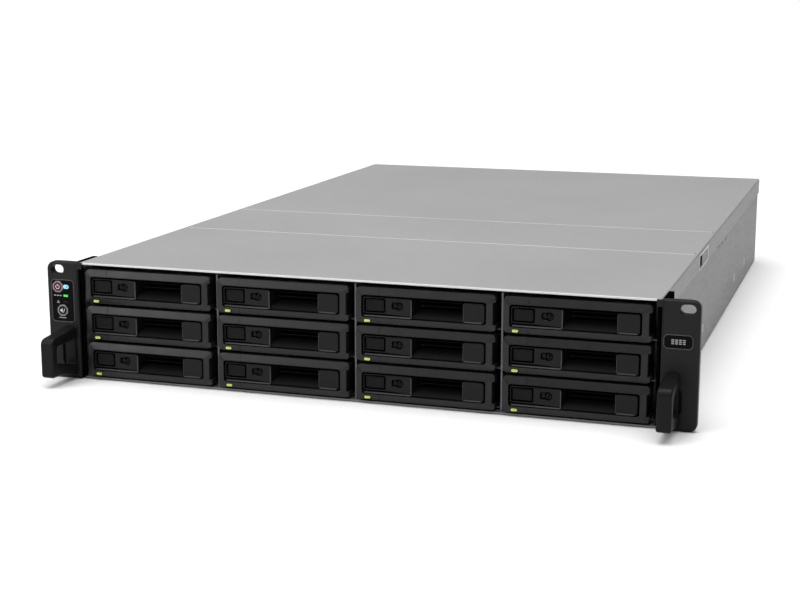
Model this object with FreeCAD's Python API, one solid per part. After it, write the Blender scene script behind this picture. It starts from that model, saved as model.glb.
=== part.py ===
import FreeCAD, Part
import math
import os

# Two-unit rack storage server with twelve front drive bays.
# X runs to the right seen from the front, Y runs to the back, Z runs up.
# Depths below are measured from the front plane of the rack ears. save() moves every
# piece so that the origin is the centre of the footprint, at floor level.

V = FreeCAD.Vector

# ---- driving dimensions, millimetres ----
overall_width = 482.0           # across the rack ears
overall_depth = 724.0           # front handles to power supply handles
height = 88.0                   # two rack units, less the usual clearance
handle_reach = 34.0             # front handles stand this far out of the ears
case_depth = 665.0
rear_reach = overall_depth - handle_reach - case_depth

wall_x = 214.1                  # outside of the base's side walls
sheet = 1.2                     # base, dividers and rear panel
inner_x = wall_x - sheet
cover_x = 215.25                # outside of the cover skirts
cover_sheet = 0.9
cover_under = height - cover_sheet
skirt_bottom = 73.3
seam = 0.3
cover_front = 1.0
front_seam = 179.0              # front cover to middle strip
rear_seam = 292.0               # middle strip to rear cover
wall_top = 86.6
floor_front = 3.0               # front edge of the floor, just behind the bezels
wall_front = 5.4                # front edges of the walls and dividers
latch_y = (190.0, 241.0)        # latch window in the right skirt
latch_z = (74.0, 84.5)

bay_columns = 4
bay_rows = 3
bay_pitch_x = 106.0
bay_pitch_z = 27.6
bay_left = -209.4               # left edge of the first column's bezels
bay_bottom = 2.6                # bottom edge of the lowest row's bezels
bezel_w = 100.8
bezel_h = 26.0
bezel_d = 12.0

drive_w = 101.6                 # 3.5 inch drive
drive_h = 26.1
drive_l = 147.0
drive_front = 30.0

fan_size = 80.0
fan_depth = 38.0
fan_front = 205.0
fan_centres = (-140.0, 0.0, 140.0)
fan_bottom = 2.5

psu_w = 73.5
psu_h = 40.0
psu_l = 185.0
psu_left = 137.0
psu_bottoms = (1.6, 43.2)

slot_spacing = 465.1            # rack rail hole columns
slot_w = 10.0
slot_h = 6.6
slot_z = 82.1
rail_hole_y = (231.0, 459.0, 546.0)
rail_hole_z = 19.4
rail_hole_r = 2.0

ear_inner = 215.5
ear_plate = 7.0                 # depth of the ear's front plate
tab_height = 5.0                # tab of each ear over the cover's corner
handle_x = (218.8, 229.0)
badge_x = (217.7, 236.0)
badge_z = (56.0, 64.6)
panel_x = (-237.4, -219.5)
panel_z = (43.0, 74.0)
power_centre = (-232.4, 69.0)
mute_centre = (-229.0, 51.2)
button_r = 3.0
lamps = (((-228.0, -223.2), (67.3, 71.1)),      # pill beside the power button
         ((-228.1, -224.3), (61.6, 63.0)),      # status
         ((-228.1, -224.3), (57.0, 58.4)))      # alert

lever_pivot = (91.4, 2.8)       # from the bezel's left edge, and depth
lock_centre = (31.2, 13.8)      # from the bezel's left and bottom edges

# ---- helpers ----


def box(x, y, z):
    """Block between two limits on each axis."""
    return Part.makeBox(x[1] - x[0], y[1] - y[0], z[1] - z[0], V(x[0], y[0], z[0]))


def extrude(corners, direction):
    """Solid from a closed outline swept along a vector."""
    outline = Part.makePolygon(corners + [corners[0]])
    return Part.Face(outline).extrude(direction)


def prism_y(points, y):
    """Outline of (x, z) points swept along Y."""
    return extrude([V(px, y[0], pz) for px, pz in points], V(0, y[1] - y[0], 0))


def prism_x(points, x):
    """Outline of (y, z) points swept along X."""
    return extrude([V(x[0], py, pz) for py, pz in points], V(x[1] - x[0], 0, 0))


def prism_z(points, z):
    """Outline of (x, y) points swept along Z."""
    return extrude([V(px, py, z[0]) for px, py in points], V(0, 0, z[1] - z[0]))


def rod_y(x, z, radius, y):
    """Round bar along Y."""
    return Part.makeCylinder(radius, y[1] - y[0], V(x, y[0], z), V(0, 1, 0))


def rounded_plate(x, y, z, radius):
    """Plate facing the front, with its four corners rounded."""
    plate = box(x, y, z)
    edges = [e for e in plate.Edges if abs(e.tangentAt(0).y) > 0.99]
    return plate.makeFillet(radius, edges)


def slot_plate(centre_x, centre_z, width, high, y):
    """Round-ended slot, wider than it is high, swept along Y."""
    half = (width - high) / 2
    middle = box((centre_x - half, centre_x + half), y,
                 (centre_z - high / 2, centre_z + high / 2))
    ends = [rod_y(centre_x + side * half, centre_z, high / 2, y) for side in (-1, 1)]
    return middle.fuse(ends).removeSplitter()


def polygon_y(x, z, radius, sides, y):
    """Regular many-sided bar along Y, as wide as the circle around it."""
    turns = [2 * math.pi * (k + 0.5) / sides for k in range(sides)]
    return prism_y([(x + radius * math.cos(t), z + radius * math.sin(t)) for t in turns], y)


def mirror_x(shape):
    return shape.mirror(V(0, 0, 0), V(1, 0, 0))


def cut_all(shape, tools):
    """Shape with every tool taken away, as one clean solid."""
    return shape.cut(tools).removeSplitter()


def save(name, solids):
    """Write one named piece, moved to the part's own frame."""
    shape = Part.makeCompound(solids)
    shape.translate(V(0, handle_reach - overall_depth / 2, 0))
    shape.exportStep("parts/" + name + ".step")


# ---- case ----


def rail_holes(side):
    """Cutters for the rail screw holes in one side wall."""
    start = side * (inner_x - 1)
    return [Part.makeCylinder(rail_hole_r, 6, V(start, y, rail_hole_z), V(side, 0, 0))
            for y in rail_hole_y]


def chassis_base():
    """One folded sheet: floor, side walls and inward lips along their tops."""
    lip = 8.0
    lip_front = 20.0
    left = [(-wall_x, 0), (-wall_x, wall_top), (-inner_x + lip, wall_top),
            (-inner_x + lip, wall_top - sheet), (-inner_x, wall_top - sheet),
            (-inner_x, sheet)]
    right = [(-x, z) for x, z in reversed(left)]
    folded = prism_y(left + right, (floor_front, case_depth))
    front_relief = box((-wall_x - 1, wall_x + 1), (0, wall_front), (sheet, height))
    lip_relief = box((-inner_x, inner_x), (0, lip_front), (wall_top - 2 * sheet, height))
    latch_hole = box((inner_x - 1, wall_x + 1), (latch_y[0] + 1, latch_y[0] + 13),
                     (latch_z[0] + 0.5, latch_z[1] - 0.5))
    return cut_all(folded, rail_holes(1) + rail_holes(-1)
                   + [front_relief, lip_relief, latch_hole])


def cover(y):
    """Flat top with a skirt down each side."""
    inside = cover_x - cover_sheet
    outline = [(-cover_x, skirt_bottom), (-cover_x, height), (cover_x, height),
               (cover_x, skirt_bottom), (inside, skirt_bottom), (inside, cover_under),
               (-inside, cover_under), (-inside, skirt_bottom)]
    return prism_y(outline, y)


def front_cover():
    """Cover whose skirts start behind the ears' jambs."""
    sheet_form = cover((cover_front, front_seam))
    notch_z = (skirt_bottom - 1, height - tab_height + 0.1)
    notches = [box((cover_x - 2, cover_x + 1), (0, wall_front), notch_z),
               box((-cover_x - 1, -cover_x + 2), (0, wall_front), notch_z)]
    return cut_all(sheet_form, notches)


def cover_bridge():
    """Middle strip, with a latch window in its right skirt."""
    strip = cover((front_seam + seam, rear_seam - seam))
    window = box((cover_x - 2, cover_x + 1), latch_y, (skirt_bottom - 1, latch_z[1]))
    return cut_all(strip, [window])


def rail_boss(side, y):
    """Raised ring round one rail screw hole."""
    start = V(side * wall_x, y, rail_hole_z)
    ring = Part.makeCylinder(3.6, 1.0, start, V(side, 0, 0))
    return ring.cut(Part.makeCylinder(rail_hole_r, 1.0, start, V(side, 0, 0)))


def rear_panel():
    """Rear wall with sockets, slot covers and vents, and the power supply cage."""
    y = (case_depth - sheet, case_depth)
    through = (case_depth - 40, case_depth + 1)
    left, right = -inner_x + 0.3, inner_x - 0.3
    low, high = sheet + 0.1, wall_top - sheet - 0.2
    bay_x = (psu_left - 0.6, psu_left + psu_w + 0.6)
    bay_top = 83.8
    band_left, band_top = -152.0, 32.0
    frame = [box((bay_x[0], right), y, (bay_top, high)), box((bay_x[1], right), y, (low, bay_top))]
    shells = []
    mouths = {}
    for x, z in network_sockets() + console_socket() + usb_sockets() + expansion_sockets():
        shells += open_box(x, z, (case_depth - 18, case_depth - 0.1), 1.0, 2.0)
        mouths.setdefault((x[0] - 1.2, x[1] + 1.2), []).append((z[0] - 1.2, z[1] + 1.2))
    band = plates_around((band_left, bay_x[0]), y, (low, band_top), mouths)
    vents_z = (44, 78)
    slots = [box((10 + k * 8.4, 15 + k * 8.4), through, vents_z) for k in range(14)]
    upper = cut_all(box((band_left, bay_x[0]), y, (band_top, high)), slots)
    slot_covers = []
    cards = []
    for k in range(2):
        x = (-196 + k * 22, -184 + k * 22)
        cards.append(box(x, through, (6, 74)))
        slot_covers.append(box((x[0] - 2, x[1] + 2), (case_depth - sheet - 1, case_depth - sheet),
                               (4, 80)))
    card_end = cut_all(box((left, band_left), y, (low, high)), cards)
    shelf_y = (case_depth - psu_l, case_depth - sheet)
    shelf = box((psu_left - 1.2, right), shelf_y, (42.0, 42.8))
    side = box((psu_left - 2.2, psu_left - 1.2), shelf_y, (low, 84.4))
    return [card_end, upper] + band + frame + shells + slot_covers + [shelf, side]


def plates_around(x, y, z, mouths):
    """Flat plates that fill a rectangle round columns of rectangular mouths."""
    plates = []
    left = x[0]
    for across in sorted(mouths):
        plates.append(box((left, across[0]), y, z))
        low = z[0]
        for mouth in mouths[across]:
            plates.append(box(across, y, (low, mouth[0])))
            low = mouth[1]
        plates.append(box(across, y, (low, z[1])))
        left = across[1]
    plates.append(box((left, x[1]), y, z))
    return plates


def open_box(x, z, y, wall, back):
    """Four walls and a back plate round a socket's inside limits, open to the rear."""
    full_z = (z[0] - wall, z[1] + wall)
    return [box((x[0] - wall, x[0]), y, full_z), box((x[1], x[1] + wall), y, full_z),
            box(x, y, (full_z[0], z[0])), box(x, y, (z[1], full_z[1])),
            box(x, (y[0], y[0] + back), z)]


def network_sockets():
    """Four network sockets in a row: inside limits across and up."""
    return [((-140 + k * 18, -128.2 + k * 18), (14, 22)) for k in range(4)]


def console_socket():
    return [((-58, -46.2), (14, 22))]


def usb_sockets():
    """Two USB sockets, one above the other."""
    return [((-30, -17), (12 + k * 10, 17.2 + k * 10)) for k in range(2)]


def expansion_sockets():
    """Two wide sockets for expansion units."""
    return [((0 + k * 34, 26 + k * 34), (13, 20)) for k in range(2)]


# ---- ears and control panel ----


def ear_bracket(side_cuts):
    """Right-hand ear: front plate with one rack slot, a tab over the cover's corner, a flange
    along the case, a jamb that hides the wall's edge, and a hollow behind the handle."""
    plate = rounded_plate((ear_inner, overall_width / 2), (0, ear_plate), (0, height), 5.0)
    flange = box((ear_inner, ear_inner + 3.5), (4, 31), (0, height))
    tab = box((ear_inner - 3.5, ear_inner + 6), (0, cover_front - 0.1),
              (height - tab_height, height))
    pad = box((wall_x, ear_inner), (floor_front, 31), (0, skirt_bottom - 0.5))
    jamb = box((wall_x - 1.5, ear_inner), (floor_front, wall_front - 0.2),
               (sheet + 0.2, height - tab_height))
    hollow = box((handle_x[0] + 0.7, handle_x[1] + 0.8), (-1, 4), (12.5, 27.0))
    slot = slot_plate(slot_spacing / 2, slot_z, slot_w, slot_h, (-1, ear_plate + 1))
    return cut_all(plate.fuse([flange, tab, pad, jamb]), [slot, hollow] + side_cuts)


def handle():
    """Bar in front of the ear, on an arm at each end, with room for fingers behind it."""
    reach = -handle_reach
    outer = [(0, 39), (reach + 5, 36.5), (reach + 1.5, 34.5), (reach, 31), (reach, 10),
             (reach + 2.5, 7.5), (reach + 10, 7.5), (0, 2.5)]
    gap = [(0.1, 29), (reach + 7, 29), (reach + 7, 17), (0.1, 11)]
    return prism_x(outer, handle_x).cut(prism_x(gap, (handle_x[0] - 1, handle_x[1] + 1)))


def right_ear():
    """Ear, handle and a blank badge plate set into the ear."""
    seat = box(badge_x, (-1, 1.5), badge_z)
    badge = box((badge_x[0] + 0.2, badge_x[1] - 0.2), (0.3, 1.5),
                (badge_z[0] + 0.2, badge_z[1] - 0.2))
    return [ear_bracket([seat]), handle(), badge]


def left_ear():
    """Mirror of the right ear, with a pocket for the control panel."""
    pocket = box((-panel_x[1], -panel_x[0]), (-1, 5), panel_z)
    return [mirror_x(ear_bracket([pocket])), mirror_x(handle())]


def control_panel():
    """Front plate with lamps, a ring round each button and the button board."""
    gap = 0.2
    plate = box((panel_x[0] + gap, panel_x[1] - gap), (0.3, 2.2),
                (panel_z[0] + gap, panel_z[1] - gap))
    holes = [rod_y(x, z, button_r + 0.3, (-1, 3)) for x, z in (power_centre, mute_centre)]
    windows = [box(x, (-1, 3), z) for x, z in lamps]
    rings = []
    for x, z in (power_centre, mute_centre):
        ring = rod_y(x, z, 4.4, (-0.3, 0.3))
        rings.append(ring.cut(rod_y(x, z, button_r + 0.3, (-1, 1))))
    lenses = [box(x, (0.2, 2.2), z) for x, z in lamps]
    board = box((panel_x[0] + gap, panel_x[1] - gap), (4.3, 5.0),
                (panel_z[0] + gap, panel_z[1] - gap))
    return [cut_all(plate, holes + windows), board] + rings + lenses


def panel_button(centre):
    """Round cap with a retaining collar behind the panel."""
    x, z = centre
    cap = rod_y(x, z, button_r, (-0.6, 2.6))
    return [cap.fuse(rod_y(x, z, button_r + 0.8, (2.5, 3.3))).removeSplitter()]


# ---- drive cage and trays ----


def bay_origin(column, row):
    """Left and bottom edge of a bay's bezel, rows counted from the bottom."""
    return bay_left + column * bay_pitch_x, bay_bottom + row * bay_pitch_z


def drive_cage():
    """Divider sheets with guide ribs for the sleds, and a tie bar across their backs."""
    solids = []
    cage_back = 182.0
    for column in range(bay_columns + 1):
        face = bay_left + column * bay_pitch_x - 1.1
        last = column == bay_columns
        outermost = last or column == 0
        depth = (bezel_d if outermost else wall_front, cage_back)
        sheet_x = (face - sheet, face)
        if last:
            sheet_x = (inner_x - 1.0, inner_x)
        divider = box(sheet_x, depth, (sheet, 84.7))
        ribs = []
        for row in range(bay_rows):
            z = bay_bottom + row * bay_pitch_z + 10.5
            left_reach = 0 if column == 0 else 1.0
            right_reach = 0 if last else 1.0
            ribs.append(box((sheet_x[0] - left_reach, sheet_x[1] + right_reach),
                            (20, depth[1]), (z, z + 3)))
        solids.append(divider.fuse(ribs).removeSplitter())
    solids.append(box((-wall_x + 3.0, wall_x - 3.0), (162, cage_back), (84.7, 85.3)))
    return solids


def backplane():
    """Board behind the drives, with air holes and one connector for each drive."""
    board_y = (186.0, 187.6)
    board = box((-210, 210), board_y, (3, 84))
    holes = []
    connectors = []
    for column in range(bay_columns):
        for row in range(bay_rows):
            x, z = bay_origin(column, row)
            connectors.append(box((x + 12, x + 46), (177.4, board_y[0]), (z + 4, z + 10)))
            holes.append(box((x + 12, x + 90), (185, 189), (z + 13, z + 23)))
    return [cut_all(board, holes)] + connectors


def tray(column, row):
    """Bezel, sled, side strips, drive and lamp light pipe of one bay."""
    x, z = bay_origin(column, row)
    bezel = rounded_plate((x, x + bezel_w), (0, bezel_d), (z, z + bezel_h), 2.5)
    recess = box((x + 4.4, x + 94.2), (-1, 9.6), (z + 4.9, z + 20.5))
    notch = box((x + 98.9, x + bezel_w + 1), (-1, bezel_d + 1), (z + 5, z + 21))
    pipe_x = (x + 6.1, x + 10.7)
    pipe_z = (z + 1.2, z + 3.2)
    pipe = box(pipe_x, (-0.1, bezel_d), pipe_z)
    bezel = cut_all(bezel, [recess, notch, box(pipe_x, (-1, bezel_d + 1), pipe_z)]
                    + vents(x, z, (9, bezel_d + 1)))
    drive_left = x - 0.4 + sled_wall_gap()
    floor_z = (z - 0.3, z + 0.5)
    sled_x = (drive_left - sheet, drive_left + drive_w + sheet)
    sled = box(sled_x, (bezel_d, 176), floor_z)
    sled = sled.cut(box((x + 20, x + 80), (40, 160), (z - 1, z + 1)))
    strips = []
    for wall in ((sled_x[0], drive_left), (drive_left + drive_w, sled_x[1])):
        strip = box(wall, (bezel_d, 176), (floor_z[1], z + 20))
        groove = box((wall[0] - 1, wall[1] + 1), (19, 177), (z + 10.2, z + 13.8))
        strips.append(strip.cut(groove))
    drive = box((drive_left, drive_left + drive_w), (drive_front, drive_front + drive_l),
                (floor_z[1], floor_z[1] + drive_h))
    return [bezel, sled] + strips + [drive, pipe]


def sled_wall_gap():
    """From a divider's face to the drive: running gap, then the side strip."""
    return (bay_pitch_x - sheet - drive_w) / 2 - 0.7


def vents(x, z, y):
    """Three air slots behind the finger recess of a lever."""
    return [box((x + 47, x + 75), y, (z + 12 + 2.6 * k, z + 13.4 + 2.6 * k)) for k in range(3)]


def lever(column, row):
    """Swing-out lever: button end, finger recess and hinge end with its pin, and the key lock."""
    x, z = bay_origin(column, row)
    pivot_x, pivot_y = lever_pivot
    nose = 2.5
    turns = [math.radians(-90 + 15 * k) for k in range(7)]
    round_end = [(x + pivot_x + nose * math.cos(t), pivot_y + nose * math.sin(t)) for t in turns]
    outline = [(x + 5.2, 0.3), (x + 40.5, 0.3), (x + 42.5, 7.0), (x + 76.0, 7.0),
               (x + 78.0, 0.3)] + round_end + [(x + pivot_x + nose, 9.0), (x + 5.2, 9.0)]
    pin = Part.makeCylinder(1.2, 15.5, V(x + pivot_x, pivot_y, z + 4.95))
    arm = prism_z(outline, (z + 5.2, z + 20.2)).fuse(pin)
    button_pocket = box((x + 5.7, x + 21.6), (-1, 5.2), (z + 8.3, z + 19.1))
    lock_x, lock_z = x + lock_centre[0], z + lock_centre[1]
    lock_hole = polygon_y(lock_x, lock_z, 2.9, 16, (-1, 7.0))
    lock = polygon_y(lock_x, lock_z, 2.8, 16, (0.6, 7.0))
    key_slot = box((lock_x - 0.4, lock_x + 0.4), (0, 4), (lock_z - 1.6, lock_z + 1.6))
    arm = cut_all(arm, [button_pocket, lock_hole] + vents(x, z, (6, 10)))
    return [arm, lock.cut(key_slot)]


def release_button(column, row):
    """Cap that slides into the lever's pocket."""
    x, z = bay_origin(column, row)
    return [box((x + 6.0, x + 21.3), (0.2, 3.4), (z + 8.6, z + 18.8))]


# ---- fans and electronics ----


def fan_frame(x, z, size, y, bore_r, hub_r):
    """Square frame with a round bore and a motor seat held by four arms."""
    frame = box((x - size / 2, x + size / 2), y, (z - size / 2, z + size / 2))
    bore = polygon_y(x, z, bore_r, 24, (y[0] - 1, y[1] + 1))
    arm_y = (y[1] - 3, y[1])
    seat = polygon_y(x, z, hub_r, 24, arm_y)
    arms = [box((x - size / 2 + 1, x + size / 2 - 1), arm_y, (z - 1.5, z + 1.5)),
            box((x - 1.5, x + 1.5), arm_y, (z - size / 2 + 1, z + size / 2 - 1))]
    return frame.cut(bore).fuse([seat] + arms).removeSplitter()


def fan_rotor(x, z, hub_r, tip_r, y, blades):
    """Hub with pitched blades and a stub of its shaft towards the motor seat, one solid."""
    depth = y[1] - y[0]
    rotor = polygon_y(x, z, hub_r, 24, y).fuse(rod_y(x, z, hub_r / 6, (y[0], y[1] + 1.5)))
    middle = (y[0] + y[1]) / 2
    pitch = 35.0
    thickness = max(1.0, depth / 14)
    chord = 0.8 * depth / math.cos(math.radians(pitch))
    parts = []
    for k in range(blades):
        blade = box((-thickness / 2, thickness / 2), (-chord / 2, chord / 2), (hub_r - 2, tip_r))
        blade.rotate(V(0, 0, 0), V(0, 0, 1), pitch)
        blade.rotate(V(0, 0, 0), V(0, 1, 0), 360.0 * k / blades)
        blade.translate(V(x, middle, z))
        parts.append(blade)
    return rotor.fuse(parts).removeSplitter()


def mainboard():
    """Board on six-sided standoffs, with a few tall parts."""
    board = box((-205, 125), (305, 652), (8, 9.6))
    solids = [board]
    for x in (-195, -40, 115):
        for y in (315, 480, 640):
            post = Part.makeCylinder(3.0, 8 - sheet, V(x, y, sheet))
            solids.append(post)
    chipset = box((-150, -112), (560, 598), (9.6, 24))
    choke = box((-20, 20), (330, 360), (9.6, 20))
    return solids + [chipset, choke]


def cpu_heatsink():
    """Foot with fins pressed into it, air flowing from front to back."""
    y = (420, 510)
    foot = box((-120, -30), y, (9.6, 18))
    fins = [box((-120 + k * 5.93, -118.9 + k * 5.93), y, (18, 68)) for k in range(16)]
    return [foot] + fins


def memory_modules():
    """Four modules standing in their sockets."""
    solids = []
    for k in range(4):
        x = 10 + k * 11
        solids.append(box((x - 3, x + 3), (390, 532), (9.6, 15)))
        solids.append(box((x - 0.7, x + 0.7), (394.5, 527.5), (15, 44)))
    return solids


# ---- power supplies ----


def psu(bottom):
    """Module case, handle, latch, inlet, board and rear fan seat."""
    x = (psu_left, psu_left + psu_w)
    y = (case_depth - psu_l, case_depth)
    z = (bottom, bottom + psu_h)
    shell = 1.0
    inside_x = (x[0] + shell, x[1] - shell)
    inside_z = (z[0] + shell, z[1] - shell)
    walls = [box(x, y, (z[0], inside_z[0])), box(x, y, (inside_z[1], z[1])),
             box((x[0], inside_x[0]), y, inside_z), box((inside_x[1], x[1]), y, inside_z)]
    fan_x, fan_z = psu_fan_centre(bottom)
    fan_hole = polygon_y(fan_x, fan_z, 18.2, 24, (y[1] - 3, y[1] + 1))
    inlet_x = (x[0] + 44, x[0] + 71)
    inlet_z = (bottom + 10, bottom + 30)
    inlet_wall = 1.6
    air = [box((x[0] + 8 + 12 * k, x[0] + 14 + 12 * k), (y[0] - 1, y[0] + 3),
               (bottom + 6, bottom + 34)) for k in range(5)]
    walls.append(cut_all(box(inside_x, (y[0], y[0] + shell), inside_z), air))
    rear_y = (y[1] - shell, y[1])
    fan_side = x[0] + 39.5
    walls.append(box((inside_x[0], fan_side), rear_y, inside_z).cut(fan_hole))
    walls += plates_around((fan_side, inside_x[1]), rear_y, inside_z, {inlet_x: [inlet_z]})
    inlet = open_box((inlet_x[0] + inlet_wall, inlet_x[1] - inlet_wall),
                     (inlet_z[0] + inlet_wall, inlet_z[1] - inlet_wall),
                     (y[1] - 22, y[1] + 1.5), inlet_wall, 5.0)
    loop_x = (x[0] + 38.0, x[0] + 42.0)
    back = y[1] + rear_reach
    loop = box(loop_x, (y[1], back), (bottom + 4, bottom + 36))
    finger = box((loop_x[0] - 1, loop_x[1] + 1), (y[1] + 3, back - 4),
                 (bottom + 9, bottom + 31))
    latch = box((x[0] + 46, x[0] + 69), (y[1], y[1] + 9), (bottom + 33, bottom + 36))
    board = box((x[0] + 3, x[1] - 3), (y[0] + 6, y[1] - 45), (bottom + 4, bottom + 5.6))
    block = box((x[0] + 12, x[1] - 14), (y[0] + 20, y[1] - 60), (bottom + 5.6, bottom + 32))
    feet = box((x[0] + 10, x[1] - 10), (y[0] + 30, y[1] - 70), (bottom + shell, bottom + 4))
    frame = fan_frame(fan_x, fan_z, psu_h - 2 * shell - 0.2, (y[1] - 28, y[1] - shell), 18.2, 8.0)
    return walls + inlet + [loop.cut(finger), latch, board, block, feet, frame]


def psu_fan_centre(bottom):
    return psu_left + 20.0, bottom + psu_h / 2


def psu_fan(bottom):
    """Rotor behind the round hole in the module's rear face."""
    x, z = psu_fan_centre(bottom)
    return fan_rotor(x, z, 8.0, 16.6, (case_depth - 26, case_depth - 6), 7)


# ---- write every piece ----

os.makedirs("parts", exist_ok=True)

save("chassis_base", [chassis_base()])
save("front_cover", [front_cover()])
save("cover_bridge", [cover_bridge()])
save("rear_cover", [cover((rear_seam, case_depth))])
save("rail_studs", [rail_boss(side, y) for side in (-1, 1) for y in rail_hole_y])
save("rear_panel", rear_panel())
save("left_ear", left_ear())
save("right_ear", right_ear())
save("control_panel", control_panel())
save("power_button", panel_button(power_centre))
save("mute_button", panel_button(mute_centre))
save("drive_cage", drive_cage())
save("backplane", backplane())
save("mainboard", mainboard())
save("cpu_heatsink", cpu_heatsink())
save("memory_modules", memory_modules())

fan_z = fan_bottom + fan_size / 2
save("fan_frames", [fan_frame(x, fan_z, fan_size, (fan_front, fan_front + fan_depth), 38.5, 18.0)
                    for x in fan_centres])
for number, x in enumerate(fan_centres, 1):
    rotor = fan_rotor(x, fan_z, 17.0, 36.4, (fan_front + 2, fan_front + 32), 7)
    save("fan_rotor_%d" % number, [rotor])

for number, bottom in enumerate(psu_bottoms, 1):
    save("psu_%d" % number, psu(bottom))
    save("psu_fan_%d" % number, [psu_fan(bottom)])

for row in range(bay_rows):
    for column in range(bay_columns):
        number = (bay_rows - 1 - row) * bay_columns + column + 1
        save("tray_%02d" % number, tray(column, row))
        save("tray_lever_%02d" % number, lever(column, row))
        save("release_button_%02d" % number, release_button(column, row))
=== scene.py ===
"""Twelve-bay rack storage unit: the visible model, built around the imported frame.

Shapes are written in millimetres. Case pieces use the case's own frame: X to the right, Y back from
the front plane, Z up from the floor. Tray pieces use the bezel's lower left front corner instead.
"""
import math

import bmesh
import bpy
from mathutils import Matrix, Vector
from mathutils.geometry import tessellate_polygon


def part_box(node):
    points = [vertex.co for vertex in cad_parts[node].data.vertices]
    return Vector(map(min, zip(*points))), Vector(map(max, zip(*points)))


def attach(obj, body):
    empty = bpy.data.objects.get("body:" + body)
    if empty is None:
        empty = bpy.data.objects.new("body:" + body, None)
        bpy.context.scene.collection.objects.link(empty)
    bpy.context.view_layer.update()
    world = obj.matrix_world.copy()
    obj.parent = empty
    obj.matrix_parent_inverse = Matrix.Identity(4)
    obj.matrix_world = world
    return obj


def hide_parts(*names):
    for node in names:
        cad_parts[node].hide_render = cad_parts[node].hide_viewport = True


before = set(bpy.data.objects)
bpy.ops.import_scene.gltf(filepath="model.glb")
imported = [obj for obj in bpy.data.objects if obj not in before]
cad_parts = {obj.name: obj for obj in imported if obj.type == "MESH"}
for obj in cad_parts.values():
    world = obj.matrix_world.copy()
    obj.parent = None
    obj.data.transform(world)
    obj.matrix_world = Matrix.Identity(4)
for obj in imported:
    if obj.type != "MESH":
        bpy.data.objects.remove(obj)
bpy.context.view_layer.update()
MM = 0.001
HANDLE_REACH = 34.0
CASE = Vector((0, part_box("right_ear")[0].y + HANDLE_REACH * MM, 0))
CASE_DEPTH = (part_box("chassis_base")[1].y - CASE.y) / MM

# ------------------------------------------------------------------ outlines


def rounded(points, radius, steps=4):
    """Outline with rounded corners; radius is one number, or one for each corner."""
    radii = [radius] * len(points) if isinstance(radius, (int, float)) else radius
    out = []
    for i, (point, r) in enumerate(zip(points, radii)):
        corner = Vector(point)
        if r <= 0:
            out.append(tuple(corner))
            continue
        before = (Vector(points[i - 1]) - corner).normalized()
        after = (Vector(points[(i + 1) % len(points)]) - corner).normalized()
        half = before.angle(after) / 2
        centre = corner + (before + after).normalized() * (r / math.sin(half))
        start = corner + before * (r / math.tan(half)) - centre
        end = corner + after * (r / math.tan(half)) - centre
        first = math.atan2(start.y, start.x)
        turn = (math.atan2(end.y, end.x) - first + math.pi) % (2 * math.pi) - math.pi
        for k in range(steps + 1):
            angle = first + turn * k / steps
            out.append((centre.x + r * math.cos(angle), centre.y + r * math.sin(angle)))
    return out


def rect(u, v, radius=0.0, steps=4):
    """Rectangle between two limits each way."""
    return rounded([(u[0], v[0]), (u[1], v[0]), (u[1], v[1]), (u[0], v[1])], radius, steps)


def circle(u, v, radius, sides=32, start=0.0, end=2 * math.pi):
    """Circle, or an open arc of one."""
    closed = end - start > 6.28
    count = sides if closed else sides + 1
    angles = [start + (end - start) * k / sides for k in range(count)]
    return [(u + radius * math.cos(a), v + radius * math.sin(a)) for a in angles]


def grown(limits, by):
    return [(low - by, high + by) for low, high in limits]


def signed_area(points):
    return sum(a[0] * b[1] - b[0] * a[1] for a, b in zip(points, points[1:] + points[:1])) / 2


def wound(points, left):
    """Outline that runs with its material on the left."""
    return list(points) if (signed_area(points) > 0) == left else list(points)[::-1]


def offset(points, distance):
    """Outline moved to its left."""
    if not distance:
        return points
    out = []
    for i, point in enumerate(points):
        here = Vector(point)
        a = (here - Vector(points[i - 1])).normalized()
        b = (Vector(points[(i + 1) % len(points)]) - here).normalized()
        left = Vector((-a.y, a.x)) + Vector((-b.y, b.x))
        scale = max(0.3, 1 + a.dot(b))
        out.append(tuple(here + left * (distance / scale)))
    return out

# ------------------------------------------------------------------ solids: (vertices, faces)


def strip(faces, low, high):
    """Quads between two closed rows of vertices."""
    n = len(low)
    for k in range(n):
        faces.append((low[k], low[(k + 1) % n], high[(k + 1) % n], high[k]))


def cap(verts, faces, rows):
    """Flat face bounded by the first row, with the other rows as holes in it."""
    flat = [i for row in rows for i in row]
    loops = [[Vector((verts[i][0], verts[i][2], 0)) for i in row] for row in rows]
    for triangle in tessellate_polygon(loops):
        faces.append(tuple(flat[k] for k in triangle))


def plate(outer, depth, bevel=0.0, holes=(), pockets=(), steps=2):
    """Plate facing -Y with rounded rims. A pocket is (outline, depth of its floor)."""
    verts, faces, fronts, backs = [], [], [], []
    front, back = depth

    def rows(loop, levels):
        made = []
        for w, inset in levels:
            made.append(list(range(len(verts), len(verts) + len(loop))))
            verts.extend((u, w, v) for u, v in offset(loop, inset))
        for low, high in zip(made, made[1:]):
            strip(faces, low, high)
        return made

    turns = [math.pi / 2 * k / steps for k in range(steps + 1)] if bevel else [math.pi / 2]
    rim = [(bevel * (1 - math.cos(t)), bevel * (1 - math.sin(t))) for t in turns]
    through = [(front + w, i) for w, i in rim] + [(back - w, i) for w, i in reversed(rim)]
    for loop in [wound(outer, True)] + [wound(h, False) for h in holes]:
        made = rows(loop, through)
        fronts.append(made[0])
        backs.append(made[-1])
    for outline, floor in pockets:
        made = rows(wound(outline, False), [(front + w, i) for w, i in rim] + [(floor, 0)])
        fronts.append(made[0])
        cap(verts, faces, [made[-1]])
    cap(verts, faces, fronts)
    cap(verts, faces, backs)
    return verts, faces


def block(x, y, z, bevel=0.4, radius=0.0):
    """Box with rounded rims, and rounded corners seen from the front."""
    return plate(rect(x, z, radius), y, bevel)


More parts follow.
